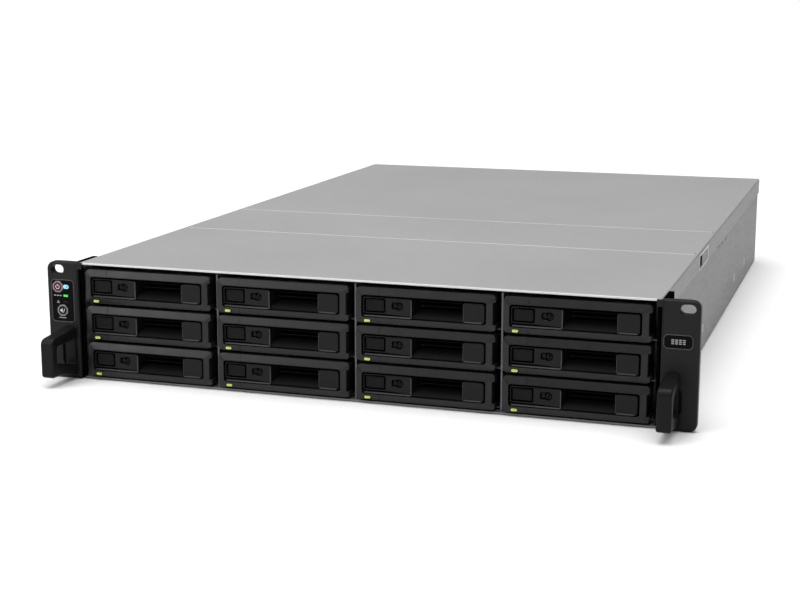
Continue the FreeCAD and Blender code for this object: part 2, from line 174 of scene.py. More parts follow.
def loft(rings, ends=(True, True)):
    """Skin through closed rings of points, with flat ends."""
    verts = [p for ring in rings for p in ring]
    n = len(rings[0])
    rows = [list(range(k * n, (k + 1) * n)) for k in range(len(rings))]
    faces = []
    for low, high in zip(rows, rows[1:]):
        strip(faces, low, high)
    for wanted, row in zip(ends, (rows[0], rows[-1])):
        if wanted:
            faces.append(tuple(row))
    return verts, faces


def turned(profile, u=0.0, v=0.0, sides=40):
    """Round piece about an axis along Y, from (radius, depth) points."""
    rings = [[(u + r * math.cos(2 * math.pi * k / sides), w, v + r * math.sin(2 * math.pi * k / sides))
              for k in range(sides)] for r, w in profile]
    return loft(rings)


def tube(path, radius, sides=10, closed=False):
    """Round wire along points."""
    points = [Vector(p) for p in path]
    rings = []
    normal = None
    for i, point in enumerate(points):
        ahead = points[(i + 1) % len(points)] if closed or i + 1 < len(points) else point
        behind = points[i - 1] if closed or i else point
        along = (ahead - behind).normalized()
        if normal is None:
            normal = along.orthogonal().normalized()
        normal = (normal - along * normal.dot(along)).normalized()
        side = along.cross(normal)
        rings.append([tuple(point + (normal * math.cos(t) + side * math.sin(t)) * radius)
                      for t in [2 * math.pi * k / sides for k in range(sides)]])
    if closed:
        rings.append(rings[0])
        return loft(rings, (False, False))
    return loft(rings)


def moved(form, x=0.0, y=0.0, z=0.0):
    return [(a + x, b + y, c + z) for a, b, c in form[0]], form[1]


def mirrored(form):
    return [(-a, b, c) for a, b, c in form[0]], form[1]


def sideways(form):
    """A plate drawn as (depth, height) that stands across X."""
    return [(b, a, c) for a, b, c in form[0]], form[1]


def lying(form):
    """A plate drawn as (across, depth) that lies flat."""
    return [(a, c, b) for a, b, c in form[0]], form[1]

# ------------------------------------------------------------------ pieces


def build(name, parts):
    """Mesh from (form, material) pairs, welded, with soft rims and crisp corners."""
    verts, faces, slots, materials = [], [], [], []
    for form, material in parts:
        if material not in materials:
            materials.append(material)
        start = len(verts)
        verts.extend((x * MM, y * MM, z * MM) for x, y, z in form[0])
        faces.extend(tuple(i + start for i in face) for face in form[1])
        slots.extend([materials.index(material)] * len(form[1]))
    mesh = bpy.data.meshes.new(name)
    mesh.from_pydata(verts, [], faces)
    for material in materials:
        mesh.materials.append(material)
    mesh.polygons.foreach_set("material_index", slots)
    work = bmesh.new()
    work.from_mesh(mesh)
    bmesh.ops.remove_doubles(work, verts=work.verts, dist=1e-6)
    bmesh.ops.dissolve_degenerate(work, edges=work.edges, dist=1e-6)
    bmesh.ops.recalc_face_normals(work, faces=work.faces)
    for face in work.faces:
        face.smooth = True
    for edge in work.edges:
        edge.smooth = len(edge.link_faces) == 2 and edge.calc_face_angle(0) < math.radians(50)
    work.to_mesh(mesh)
    work.free()
    return mesh


def add_object(name, data):
    made = bpy.data.objects.new(name, data)
    bpy.context.scene.collection.objects.link(made)
    return made


def place(name, mesh, body, at=CASE, replaces=()):
    """Show a mesh as one piece that rides on a body."""
    piece = add_object(name, mesh)
    piece.location = at
    weighted = piece.modifiers.new("even_shading", "WEIGHTED_NORMAL")
    weighted.keep_sharp = True
    weighted.weight = 100
    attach(piece, body)
    if replaces:
        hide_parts(*replaces)
    return piece


def piece(name, parts, body="chassis", at=CASE, replaces=(), slot=None):
    return place(name, build(name, parts), body, at, replaces)


def put(parts, material, *forms):
    """Add forms of one material to a piece's list."""
    parts.extend((form, M[material]) for form in forms)

# ------------------------------------------------------------------ materials


class Nodes:
    """Short way to write one material's nodes."""

    def __init__(self, name):
        self.material = bpy.data.materials.new(name)
        self.material.use_nodes = True
        self.tree = self.material.node_tree
        self.shader = self.tree.nodes["Principled BSDF"]
        self.place = self.add("ShaderNodeTexCoord").outputs["Object"]

    def add(self, kind, **settings):
        node = self.tree.nodes.new(kind)
        for key, value in settings.items():
            setattr(node, key, value)
        return node

    def link(self, source, target):
        self.tree.links.new(source, target)

    def feed(self, name, source):
        """Link a source to the shader's input of that name."""
        self.link(source, self.shader.inputs[name])

    def set(self, **values):
        for key, value in values.items():
            self.shader.inputs[key.replace("_", " ")].default_value = value

    def noise(self, scale, detail=3.0, stretch=(1, 1, 1)):
        mapping = self.add("ShaderNodeMapping")
        mapping.inputs["Scale"].default_value = stretch
        self.link(self.place, mapping.inputs["Vector"])
        node = self.add("ShaderNodeTexNoise")
        node.inputs["Scale"].default_value = scale
        node.inputs["Detail"].default_value = detail
        self.link(mapping.outputs["Vector"], node.inputs["Vector"])
        return node.outputs["Fac"]

    def ramp(self, source, dark, light, stops=(0.3, 0.7)):
        node = self.add("ShaderNodeValToRGB")
        for element, stop, colour in zip(node.color_ramp.elements, stops, (dark, light)):
            element.position = stop
            element.color = (*colour, 1)
        self.link(source, node.inputs["Fac"])
        return node.outputs["Color"]

    def span(self, source, low, high):
        """Noise widened to run from low to high."""
        node = self.add("ShaderNodeMapRange")
        node.inputs["From Min"].default_value = 0.3
        node.inputs["From Max"].default_value = 0.7
        node.inputs["To Min"].default_value = low
        node.inputs["To Max"].default_value = high
        self.link(source, node.inputs["Value"])
        return node.outputs["Result"]

    def bump(self, source, height, strength=1.0):
        node = self.add("ShaderNodeBump")
        node.inputs["Distance"].default_value = height
        node.inputs["Strength"].default_value = strength
        self.link(source, node.inputs["Height"])
        self.feed("Normal", node.outputs["Normal"])


def grey(level):
    return (level,) * 3


def shades(colour, spread):
    """Darker and lighter neighbour of a colour."""
    return [tuple(c * (1 + change) for c in colour) for change in (-spread, spread)]


def sheet_metal(name, colour, metallic=0.35, roughness=0.42, cloud=9.0):
    """Zinc-coated sheet: faint clouds, fine rolling grain along the case, soft gloss."""
    nodes = Nodes(name)
    nodes.feed("Base Color", nodes.ramp(nodes.noise(cloud, 4.0), *shades(colour, 0.035)))
    grain = nodes.noise(900.0, 2.0, (1, 0.06, 1))
    nodes.feed("Roughness", nodes.span(grain, roughness - 0.05, roughness + 0.07))
    nodes.bump(grain, 0.00002, 0.35)
    nodes.set(Metallic=metallic)
    return nodes.material


def moulded(name, colour, roughness=0.45, grain=2600.0, height=0.00004, metallic=0.0, spread=0.12,
            specular=0.5):
    """Moulded or powder-coated: fine spark-eroded grain and faint wear in gloss."""
    nodes = Nodes(name)
    patches = nodes.noise(45.0, 5.0)
    nodes.feed("Base Color", nodes.ramp(patches, *shades(colour, spread)))
    nodes.feed("Roughness", nodes.span(patches, roughness - 0.05, roughness + 0.06))
    nodes.bump(nodes.noise(grain, 2.0), height, 0.5)
    nodes.set(Metallic=metallic, Specular_IOR_Level=specular)
    return nodes.material


def glossy(name, colour, roughness=0.06):
    """Polished plate with the slight waviness of moulded plastic."""
    nodes = Nodes(name)
    wave = nodes.noise(60.0, 2.0)
    nodes.feed("Base Color", nodes.ramp(wave, *shades(colour, 0.2)))
    nodes.feed("Roughness", nodes.span(wave, roughness, roughness + 0.05))
    nodes.bump(wave, 0.00003, 0.3)
    nodes.set(Specular_IOR_Level=0.05)
    return nodes.material


def lamp(name, colour, deep, strength):
    """Lit lens with slightly uneven light."""
    nodes = Nodes(name)
    nodes.feed("Emission Color", nodes.ramp(nodes.noise(400.0), deep, colour, (0.2, 0.5)))
    nodes.feed("Base Color", nodes.ramp(nodes.noise(300.0), deep, colour))
    nodes.set(Emission_Strength=strength, Roughness=0.25)
    return nodes.material


def circuit(name, colour):
    """Solder mask with fine copper traces under it."""
    nodes = Nodes(name)
    bricks = nodes.add("ShaderNodeTexBrick")
    bricks.inputs["Scale"].default_value = 260.0
    bricks.inputs["Mortar Size"].default_value = 0.06
    dark, light = shades(colour, 0.25)
    for socket, tone in (("Color1", dark), ("Color2", colour), ("Mortar", light)):
        bricks.inputs[socket].default_value = (*tone, 1)
    nodes.link(nodes.place, bricks.inputs["Vector"])
    nodes.feed("Base Color", bricks.outputs["Color"])
    nodes.bump(bricks.outputs["Fac"], 0.00003, 0.4)
    nodes.set(Roughness=0.3)
    return nodes.material


def make_materials():
    """Looks by short name; the numbers after a colour are the finish."""
    return {
        "cover": sheet_metal("cover_steel", grey(0.33), 0.15, 0.5),
        # skirt: the cover steel made darker, painted shade for the skirts' sideways faces
        "skirt": sheet_metal("skirt_steel_painted_shade", grey(0.225), 0.15, 0.5),
        # zinc: a darker copy of the cover steel, painted shade for the side walls; the floor, rear and inner
        # sheets use it too
        "zinc": sheet_metal("shaded_sheet_steel", grey(0.18), 0.15, 0.5),
        # cage: a still darker copy of the sheet steel, painted shade for the cage inside; also the painted
        # shadow strip under the skirts
        "cage": sheet_metal("shaded_cage_steel", (0.13, 0.13, 0.131), 0.2, 0.5),
        # hem: pale steel, painted highlight along the front hem and the latch window's rim
        "highlight_strip": sheet_metal("painted_highlight_steel", grey(0.62), 0.1, 0.35),
        # seam: lighter steel, painted highlight on the seam beads and the rail boss rings
        "seam": sheet_metal("seam_highlight_steel", grey(0.52), 0.1, 0.4),
        "ear": moulded("ear_black", (0.0095, 0.0092, 0.0092), 0.42, specular=0.17),
        "handle": moulded("handle_black", (0.0065, 0.0063, 0.0063), 0.42, specular=0.12),
        "tray": moulded("tray_black", (0.0112, 0.0112, 0.0114), 0.38, specular=0.28),
        "lever": moulded("lever_black", (0.008, 0.008, 0.0082), 0.42, specular=0.15),
        # edge: lighter grey, painted highlight on black rims, edges and lips; also the small dashes on the
        # side walls
        "edge": moulded("edge_highlight_and_marks", grey(0.05), 0.4, specular=0.3),
        "button": moulded("button_black", (0.004, 0.004, 0.0041), 0.36, 3200.0, specular=0.12),
        # ramp: a darker black than the lever, painted shade in the finger recess
        "ramp": moulded("scoop_shade_black", grey(0.0025), 0.5, specular=0.07),
        # recess: near-black for dark joints and marks, and painted shade in holes, gaps, slots and recesses
        "recess": moulded("joint_and_shade_black", grey(0.0018), 0.6, specular=0.0),
        "gloss": glossy("panel_gloss", (0.0012, 0.0012, 0.0013)),
        "ring": moulded("ring_silver", (0.2, 0.205, 0.21), 0.3, metallic=0.6),
        "mark": moulded("printed_mark", (0.3, 0.305, 0.31), 0.5, spread=0.04),
        "red": glossy("power_red", (0.13, 0.02, 0.024), 0.2),
        "icon": moulded("icon_white", (0.6, 0.61, 0.63), 0.5, spread=0.03),
        "green": lamp("lamp_green", (0.34, 0.46, 0.08), (0.12, 0.2, 0.01), 0.6),
        "status": lamp("lamp_status", (0.06, 0.62, 0.07), (0.01, 0.22, 0.02), 0.7),
        "pill": lamp("lamp_pill", (0.3, 0.62, 0.72), (0.08, 0.42, 0.55), 0.6),
        "blue": lamp("lamp_blue", (0.05, 0.2, 0.9), (0.02, 0.08, 0.5), 0.8),
        "dark_lens": glossy("lens_dark", (0.02, 0.012, 0.004), 0.15),
        "drive": sheet_metal("drive_steel", (0.5, 0.5, 0.51), 0.8, 0.32, 30.0),
        "cast": moulded("drive_casting", (0.09, 0.09, 0.095), 0.5, 1500.0, 0.0001, 0.3),
        "fan": moulded("fan_black", (0.012, 0.012, 0.0125), 0.4),
        "board": circuit("board_green", (0.012, 0.085, 0.035)),
        "board_blue": circuit("board_dark", (0.01, 0.03, 0.07)),
        "chip": moulded("chip_black", (0.012, 0.012, 0.013), 0.35, 4000.0),
        "fins": sheet_metal("fin_aluminium", (0.62, 0.63, 0.64), 0.9, 0.3, 40.0),
        "gold": sheet_metal("contact_gold", (0.75, 0.5, 0.16), 1.0, 0.28, 80.0),
        "psu": sheet_metal("psu_steel", (0.48, 0.48, 0.47), 0.8, 0.36, 20.0),
        "bright": sheet_metal("bright_steel", grey(0.62), 0.9, 0.25, 60.0),
        "latch": moulded("latch_green", (0.02, 0.13, 0.06), 0.4),
        "connector": moulded("connector_black", grey(0.01), 0.45, 3000.0),
        "usb": moulded("usb_blue", (0.01, 0.08, 0.36), 0.35, 3000.0),
        "beige": moulded("connector_beige", (0.5, 0.47, 0.38), 0.5, 3000.0, spread=0.05),
    }


M = make_materials()

# ------------------------------------------------------------------ case

COVER_X = 215.25     # outer face of the covers' skirts
WALL = 214.1         # outer face of the side walls
TOP = 88.0
SKIRT = 73.3         # lower edge of the skirts
SHEET = 0.9
FLOOR_FRONT = 3.0    # where floor, walls and the walls' top lips start
WALL_FRONT = 5.4
LIP_FRONT = 20.0
FRONT_SEAM = 179.05
REAR_SEAM = 291.95
SEAM_GAP = 0.15      # from the middle of a seam to each sheet
TAB = 5.0            # height of the ears' tabs in front of the cover


def folded_cover(y, skirt=SKIRT):
    """Sheet with a rolled bend along each side and skirts down to the fold line."""
    top = TOP - 0.04
    inner = COVER_X - SHEET
    bend = 1.6
    outline = rounded(
        [(-COVER_X, skirt), (-inner, skirt), (-inner, top - SHEET), (inner, top - SHEET),
         (inner, skirt), (COVER_X, skirt), (COVER_X, top), (-COVER_X, top)],
        [0, 0, bend - SHEET, bend - SHEET, 0, 0, bend, bend])
    return plate(outline, y, 0.22)


def shade_side_faces(target):
    """Skirts' outer faces get a darker copy of the cover steel: painted shade on the sides."""
    mesh = target.data
    mesh.materials.append(M["skirt"])
    for face in mesh.polygons:
        if abs(face.normal.x) > 0.8 and abs(face.center.x) > (COVER_X - 0.3) * MM:
            face.material_index = len(mesh.materials) - 1


def seam_bead(seam):
    """Slim rolled edge just before a seam, ending short of the sides."""
    low, high = seam - 2.45, seam - 0.25
    bead = rounded([(low, TOP - 0.3), (high, TOP - 0.3), (high, TOP), (low, TOP)], [0, 0, 0.25, 0.25])
    return sideways(plate(bead, (-211.6, 211.6), 0.1))


def seam_marks(y):
    """Small clinch mark near each end of a seam."""
    return [lying(turned([(0.0, TOP), (0.8, TOP), (0.8, TOP - 0.3)], x, y, 12))
            for x in (-212.6, 212.6)]


def make_covers():
    """Three sheets; the front one's skirts start behind the ears' jambs."""
    parts = []
    put(parts, "cover", folded_cover((1.1, WALL_FRONT + 0.2), TOP - TAB + 0.1),
        folded_cover((WALL_FRONT, FRONT_SEAM - SEAM_GAP)))
    # Pale strip along the front edge: painted highlight on the hem.
    put(parts, "highlight_strip", block((-211.8, 211.8), (1.0, 2.4), (TOP - 1.5, TOP), 0.4))
    put(parts, "recess", block((COVER_X - 0.4, COVER_X + 0.03), (149.4, 151.0), (77.6, 83.4), 0.0))
    # The bead before the seam is lighter steel: painted highlight.
    put(parts, "seam", seam_bead(FRONT_SEAM))
    shade_side_faces(piece("front_cover_sheet", parts, replaces=["front_cover"], slot="cover_sheet"))

    sheet = folded_cover((FRONT_SEAM + SEAM_GAP, REAR_SEAM - SEAM_GAP))
    bridge = piece("cover_bridge_sheet", [(sheet, M["cover"])], replaces=["cover_bridge"], slot="cover_sheet")
    carve(bridge, [block((COVER_X - 3, COVER_X + 3), (190, 241), (SKIRT - 2, 84.5), 0.0)])
    shade_side_faces(bridge)
    window = rect((190.2, 240.8), (SKIRT + 1.0, 84.3), 0.4)
    rim = plate(rect((189.2, 241.8), (SKIRT + 0.1, 85.3), 0.8),
                (COVER_X - 0.7, COVER_X + 0.12), 0.15, [window])
    trim = []
    # The window's rim is pale steel: painted highlight.
    put(trim, "highlight_strip", sideways(rim))
    # The bead before the seam is lighter steel: painted highlight.
    put(trim, "seam", seam_bead(REAR_SEAM))
    put(trim, "recess", *seam_marks(181.5), *seam_marks(289.5))
    piece("cover_bridge_trim", trim, slot="cover_sheet")

    sheet = folded_cover((REAR_SEAM + SEAM_GAP, CASE_DEPTH))
    shade_side_faces(piece("rear_cover_sheet", [(sheet, M["cover"])], "rear_cover",
                       replaces=["rear_cover"], slot="cover_sheet"))


def carve(target, cutters):
    """Cut forms out of a piece's mesh."""
    for form in cutters:
        mesh = build("cutter", [(form, target.data.materials[0])])
        tool = bpy.data.objects.new("cutter", mesh)
        bpy.context.scene.collection.objects.link(tool)
        tool.matrix_world = target.matrix_world
        change = target.modifiers.new("carve", "BOOLEAN")
        change.operation = "DIFFERENCE"
        change.solver = "EXACT"
        change.object = tool
        bpy.context.view_layer.update()
        shade = target.modifiers["even_shading"]
        shade.show_viewport = False
        made = bpy.data.meshes.new_from_object(target.evaluated_get(bpy.context.evaluated_depsgraph_get()))
        shade.show_viewport = True
        target.modifiers.remove(change)
        target.data = made
        bpy.data.objects.remove(tool)


def make_base():
    """Folded floor and side walls, latch plate, a dark strip under the front skirts as painted shadow, and
    small clinch marks.
    """
    thick, lip, top = 1.2, 8.0, 86.6
    half = [(-WALL, 0), (-WALL, top), (-WALL + thick + lip, top), (-WALL + thick + lip, top - thick),
            (-WALL + thick, top - thick), (-WALL + thick, thick)]
    outline = half + [(-x, z) for x, z in reversed(half)]
    radii = [1.8, 1.4, 0, 0, 0.4, 0.8]
    parts = []
    put(parts, "zinc", plate(rounded(outline, radii + radii[::-1]), (FLOOR_FRONT, CASE_DEPTH), 0.2))
    for side in (-1, 1):
        for y, z in ((375, 22), (404, 22), (318, 70.5), (352, 69.5), (610, 21)):
            put(parts, "zinc", on_wall([(0.0, -0.5), (1.0, -0.35), (1.5, 0.0)], y, z, side, 14))
    base = piece("chassis_base_sheet", parts, replaces=["chassis_base"], slot="galvanised_sheet")
    carve(base, [block((WALL - 3, WALL + 3), (191, 203.5), (74.5, 84), 0.0),
                 block((-WALL - 1, WALL + 1), (0, WALL_FRONT), (thick, TOP), 0.0),
                 block((-WALL + thick, WALL - thick), (0, LIP_FRONT), (top - 2 * thick, TOP), 0.0)])
    details = []
    put(details, "zinc", sideways(plate(rect((208, 240), (73.2, 84.2), 0.6), (WALL, WALL + 0.8), 0.25)))
    # Near-black block behind the latch window: painted shade.
    put(details, "recess", block((WALL - 0.4, WALL + 0.3), (191, 207), (74.5, 84), 0.0))
    for side in (-1, 1):
        # Dark strip just under each front skirt: painted shadow.
        limits = sorted((side * (WALL + 0.3), side * (WALL + 1.12)))
        put(details, "cage", block(limits, (5.5, 189.5), (SKIRT - 0.8, SKIRT + 0.1), 0.1))
        limits = sorted((side * (WALL - 0.2), side * (WALL + 0.25)))
        for y, z in ((296, 73.9), (321, 72.2), (347, 70.6), (373, 70.0)):
            put(details, "edge", block(limits, (y, y + 6), (z - 1.8, z), 0.1))
    piece("latch_plate", details, slot="galvanised_sheet")


def on_wall(profile, y, z, side, sides):
    """Round form from (radius, depth) points, on the outside of one side wall."""
    verts, faces = turned(profile, y, z, sides)
    return [(side * (WALL - b), a, c) for a, b, c in verts], faces


def make_rail_bosses():
    """Raised rings with a screw hole, three on each side wall; the rings are lighter steel as painted
    highlight and each hole is a near-black disk as painted shade.
    """
    ring = [(2.2, 0.6), (2.25, -0.5), (2.8, -0.65), (3.2, -0.4), (3.55, 0.0)]
    hole = [(0.0, -0.3), (2.15, -0.3), (2.15, 0.3)]
    parts = []
    for side in (-1, 1):
        for y in (231, 459, 546):
            put(parts, "seam", on_wall(ring, y, 19.4, side, 28))
            put(parts, "recess", on_wall(hole, y, 19.4, side, 20))
    piece("rail_bosses", parts, replaces=["rail_studs"], slot="galvanised_sheet")

# ------------------------------------------------------------------ ears and control panel

EAR_IN, EAR_OUT = 215.5, 241.0
HANDLE = (218.8, 229.0)                   # across
BADGE = ((217.7, 236.0), (56.0, 64.6))    # across, then height
PANEL = ((219.5, 237.4), (43.0, 74.0))
PRINT = (0.28, 0.4)                       # depths of the marks on the glossy plates


def ear_parts(seat):
    """Right-hand ear: bevelled plate with rack slot and one seat, flange, tab and seat rim."""
    outline = rounded([(EAR_IN, 0), (EAR_OUT, 0), (EAR_OUT, TOP), (EAR_IN, TOP)], [0.8, 5.0, 6.0, 0.8], 6)
    slot = rect((227.55, 237.55), (78.8, 85.4), 3.25, 8)
    hollow = rect((HANDLE[0] + 0.7, HANDLE[1] + 0.8), (12.5, 27.0), 1.2)
    inside = rect(*seat, 2.5, 6)
    floor = 5.0 if seat is PANEL else 1.6
    parts = []
    put(parts, "ear", plate(outline, (0, 7.0), 1.15, [slot], [(inside, floor), (hollow, 4.0)], 3))
    put(parts, "ear", block((EAR_IN - 3.5, EAR_IN + 0.9), (0.05, 0.9), (TOP - TAB, TOP), 0.2))
    # Jamb, flange and pad are black parts given the near-black shade colour: painted shade in the gap between
    # ear, wall and trays.
    put(parts, "recess", block((212.6, EAR_IN + 0.5), (3.0, 5.2), (1.4, TOP - TAB), 0.2),
        block((EAR_IN, EAR_IN + 3.5), (4, 31), (0.1, TOP - 0.1), 0.6),
        block((WALL, EAR_IN + 0.5), (3.0, 31), (0.2, 72.6), 0.2))
    # The rim round the seat is lighter grey: painted highlight.
    put(parts, "edge", plate(rect(*grown(seat, 0.7), 3.2, 6), (-0.3, 1.2), 0.3, [inside], steps=3))
    return parts


def handle_form():
    """Loop handle: bar in front, rounded bends, sloped lower arm."""
    outer = rounded([(0.5, 39), (-34, 36.2), (-34, 7.4), (-24, 7.4), (0.5, 2.5)],
                    [0, 5.0, 2.5, 6, 0], 7)
    gap = rounded([(-0.2, 30), (-27, 30), (-27, 17.2), (-0.2, 10.6)], [1, 3, 2, 1], 5)
    return sideways(plate(outer, HANDLE, 1.5, [gap], steps=4))


def make_ears():
    piece("right_ear_bracket", ear_parts(BADGE), replaces=["right_ear"], slot="ear_black")
    left = [(mirrored(form), material) for form, material in ear_parts(PANEL)]
    piece("left_ear_bracket", left, replaces=["left_ear"], slot="ear_black")
    piece("right_handle", [(handle_form(), M["handle"])], slot="ear_black")
    piece("left_handle", [(mirrored(handle_form()), M["handle"])], slot="ear_black")
    x0, z0 = BADGE[0][0] + 4.6, BADGE[1][0] + 2.7
    parts = []
    put(parts, "gloss", plate(rect(*grown(BADGE, -0.15), 2.3, 6), (0.25, 1.6), 0.2))
    for x in [x0 + 2.5 * column for column in range(4)]:
        for z in [z0 + 1.25 * row for row in range(3)]:
            put(parts, "mark", block((x, x + 1.7), (0.18, 0.3), (z, z + 0.7), 0.0))
    piece("badge_plate", parts, slot="gloss_black")


POWER = (-232.4, 69.0)    # middles of the buttons
MUTE = (-229.0, 51.2)


def lens(x, z):
    return plate(rect(x, z, 0.6, 4), (0.05, 1.9), 0.15)


def make_control_panel():
    """Glossy plate with button rings, lamps and plain pictograms."""
    across, height = grown(PANEL, -0.2)
    outline = rect((-across[1], -across[0]), height, 2.3, 6)
    parts = []
    put(parts, "gloss", plate(outline, (0.35, 2.2), 0.2, [circle(*POWER, 3.3), circle(*MUTE, 3.3)]))
    for x, z in (POWER, MUTE):
        octagon = circle(x, z, 4.6, 8, math.pi / 8, 2 * math.pi + math.pi / 8)
        put(parts, "ring", plate(octagon, (-0.3, 0.6), 0.3, [circle(x, z, 3.2, 32)]))
    put(parts, "pill", plate(rect((-228.1, -223.5), (67.6, 70.6), 1.4, 6), (0.0, 1.9), 0.25))
    put(parts, "blue", plate(circle(-224.8, 69.2, 0.75, 20), (-0.05, 0.4), 0.05))
    put(parts, "status", lens((-228.1, -224.3), (61.5, 63.1)))
    put(parts, "dark_lens", lens((-228.1, -224.3), (56.9, 58.5)))
    for x in (-236.0, -233.7, -231.4):
        put(parts, "mark", block((x, x + 1.6), PRINT, (61.9, 62.7), 0.0))
    warning = [(-233.9, 56.7), (-231.3, 56.7), (-232.6, 58.9)]
    inner = [(-233.2, 57.1), (-232.0, 57.1), (-232.6, 58.1)]
    put(parts, "mark", plate(warning, PRINT, 0.0, [inner]), block((-232.5, -226.5), PRINT, (45.2, 45.9), 0.0))
    piece("control_plate", parts, replaces=["control_panel"], slot="gloss_black")


def button_cap(x, z):
    profile = [(3.8, 3.2), (3.8, 2.6), (3.0, 2.5), (3.0, -0.15), (2.75, -0.42), (2.2, -0.5), (0.0, -0.42)]
    return turned(profile, x, z)


def arc_band(x, z, radius, width, start, end):
    """Flat open ring between two angles."""
    outer, inner = [circle(x, z, radius + side * width / 2, 24, start, end) for side in (1, -1)]
    return outer + inner[::-1]


def make_panel_buttons():
    """Power cap with its usual sign, and mute cap with a small horn."""
    depth = (-0.54, -0.4)
    x, z = POWER
    sign = arc_band(x, z, 1.5, 0.4, math.radians(125), math.radians(415))
    parts = []
    put(parts, "red", button_cap(x, z))
    put(parts, "icon", plate(sign, depth), block((x - 0.22, x + 0.22), depth, (z + 0.4, z + 2.1), 0.0))
    piece("power_cap", parts, "power_button", replaces=["power_button"], slot="button_red")
    x, z = MUTE
    horn = [(x - 1.9, z - 0.6), (x - 1.1, z - 0.6), (x + 0.1, z - 1.7), (x + 0.1, z + 1.7),
            (x - 1.1, z + 0.6), (x - 1.9, z + 0.6)]
    stroke = [(x + 0.6, z - 1.5), (x + 1.0, z - 1.7), (x + 2.0, z + 1.3), (x + 1.6, z + 1.5)]
    parts = []
    put(parts, "button", button_cap(x, z))
    put(parts, "icon", plate(horn, depth), plate(stroke, depth))
    piece("mute_cap", parts, "mute_button", replaces=["mute_button"], slot="button_dark")

# ------------------------------------------------------------------ trays

BEZEL_W, BEZEL_H, BEZEL_D = 100.8, 26.0, 12.0
OPENING = ((4.4, 94.2), (4.9, 20.5))    # for the lever, across and up
LAMP = ((6.15, 10.65), (1.25, 3.2))
LOCK = (31.8, 13.7)
SCOOP = (40.8, 78.2)                    # the lever's finger recess, across
LEVER_BACK = 8.9


def bezel_ring(u, v, notch, radius, w):
    """Closed ring round the bezel, with the step in its right edge."""
    low, high = max(5.0, v[0] + 2.0), min(21.0, v[1] - 2.0)
    corners = [(u[0], v[0]), (u[1], v[0]), (u[1], low), (u[1] - notch, low), (u[1] - notch, high),
               (u[1], high), (u[1], v[1]), (u[0], v[1])]
    radii = [radius, radius, 0, 0, 0, 0, radius, radius]
    return [(a, w, b) for a, b in rounded(corners, radii, 5)]


def flatter_sides(ring, depth):
    """Ring brought forward along the two sides, so only the top and bottom faces slope."""
    out = []
    for u, w, v in ring:
        share = min(1.0, max(0.0, abs(v / BEZEL_H - 0.5) - 0.4) / 0.08)
        out.append((u, depth + (w - depth) * share, v))
    return out


def bezel_form():
    """Frame round the lever: soft outer rim, top and bottom sloping out to the opening, deep recess."""
    body = ((0, BEZEL_W), (0, BEZEL_H))
    rings = [bezel_ring(*body, 1.9, 3.0, BEZEL_D),
             flatter_sides(bezel_ring(*body, 1.9, 3.0, 3.1), 1.5),
             flatter_sides(bezel_ring(*grown(body, -0.12), 1.9, 2.9, 2.5), 0.95),
             flatter_sides(bezel_ring(*grown(body, -0.5), 1.7, 2.6, 2.0), 0.55)]
    for by, w in ((0.75, 0.28), (0.4, 0.03), (0.1, 0.08), (0.0, 0.3), (0.0, 9.6)):
        limits = grown(OPENING, by)
        rings.append(bezel_ring(*limits, 0.0, 1.9, w))
    return loft(rings)


def drive_parts():
    """Drive in its sled: floor sheet, side strips, casting, steel lid, hub and screws."""
    left, right, floor = 0.9, 102.5, 0.5
    outer = (left - 1.2, right + 1.2)
    groove = rect((19, 170), (10.2, 13.8), 1.0)
    lid = [(left + 3, 33), (right - 3, 33), (right - 3, 160),
           (right - 14, 174), (left + 14, 174), (left + 3, 160)]
    screw = [(0, 26.35), (0.9, 26.35), (1.2, 26.55), (2.2, 26.5), (2.3, 26.2)]
    parts = []
    window = rect((20, 80), (40, 160), 3)
    put(parts, "zinc", lying(plate(rect(outer, (12, 176)), (-0.3, floor), 0.1, [window])))
    for u in ((outer[0], left), (right, outer[1])):
        put(parts, "tray", sideways(plate(rect((12, 176), (floor, 20)), u, 0.15, [groove])))
    put(parts, "cast", block((left + 0.3, right - 0.3), (30, 177), (floor + 0.5, 23.5), 0.8, 1.0))
    put(parts, "drive", lying(plate(rounded(lid, 5), (23.5, 26.3), 0.7)),
        lying(turned([(16, 26.2), (15, 26.55), (5, 26.55), (4, 26.4), (0, 26.4)], 50, 75)))
    for u, y in ((8, 38), (96, 38), (8, 110), (96, 110), (20, 168), (84, 168)):
        put(parts, "bright", lying(turned(screw, u, y, 14)))
    return parts


def tray_parts():
    """Bezel with lamp pipe, fine joint lines, back arms and vent slots, then the drive."""
    parts = [(bezel_form(), M["tray"])]
    for (y0, z0), (y1, z1) in (((1.96, 25.5), (0.24, 21.3)), ((0.24, 4.1), (1.96, 0.5))):
        line = [(y0, z0), (y1, z1), (y1 + 0.4, z1), (y0 + 0.4, z0)]
        put(parts, "recess", sideways(plate(line, (17.2, 17.45))))
    (u0, u1), (v0, v1) = LAMP
    put(parts, "recess", plate(rect((u0 - 0.5, u1 + 0.5), (v0 - 0.4, v1 + 0.4), 1.2), (0.9, 3.0), 0.15))
    put(parts, "green", plate(rect(*LAMP, 0.95, 5), (0.45, 3.0), 0.35, steps=3))
    for u in ((1.5, 3.5), (97, 98.6)):
        put(parts, "tray", block(u, (12, 30), (2, 22), 0.3))
    # Vent slots behind the lever are near-black blocks: painted shade.
    for v in (12.0, 14.6, 17.2):
        put(parts, "recess", block((47, 75), (9.5, 9.7), (v, v + 1.4), 0.0))
    return parts + drive_parts()


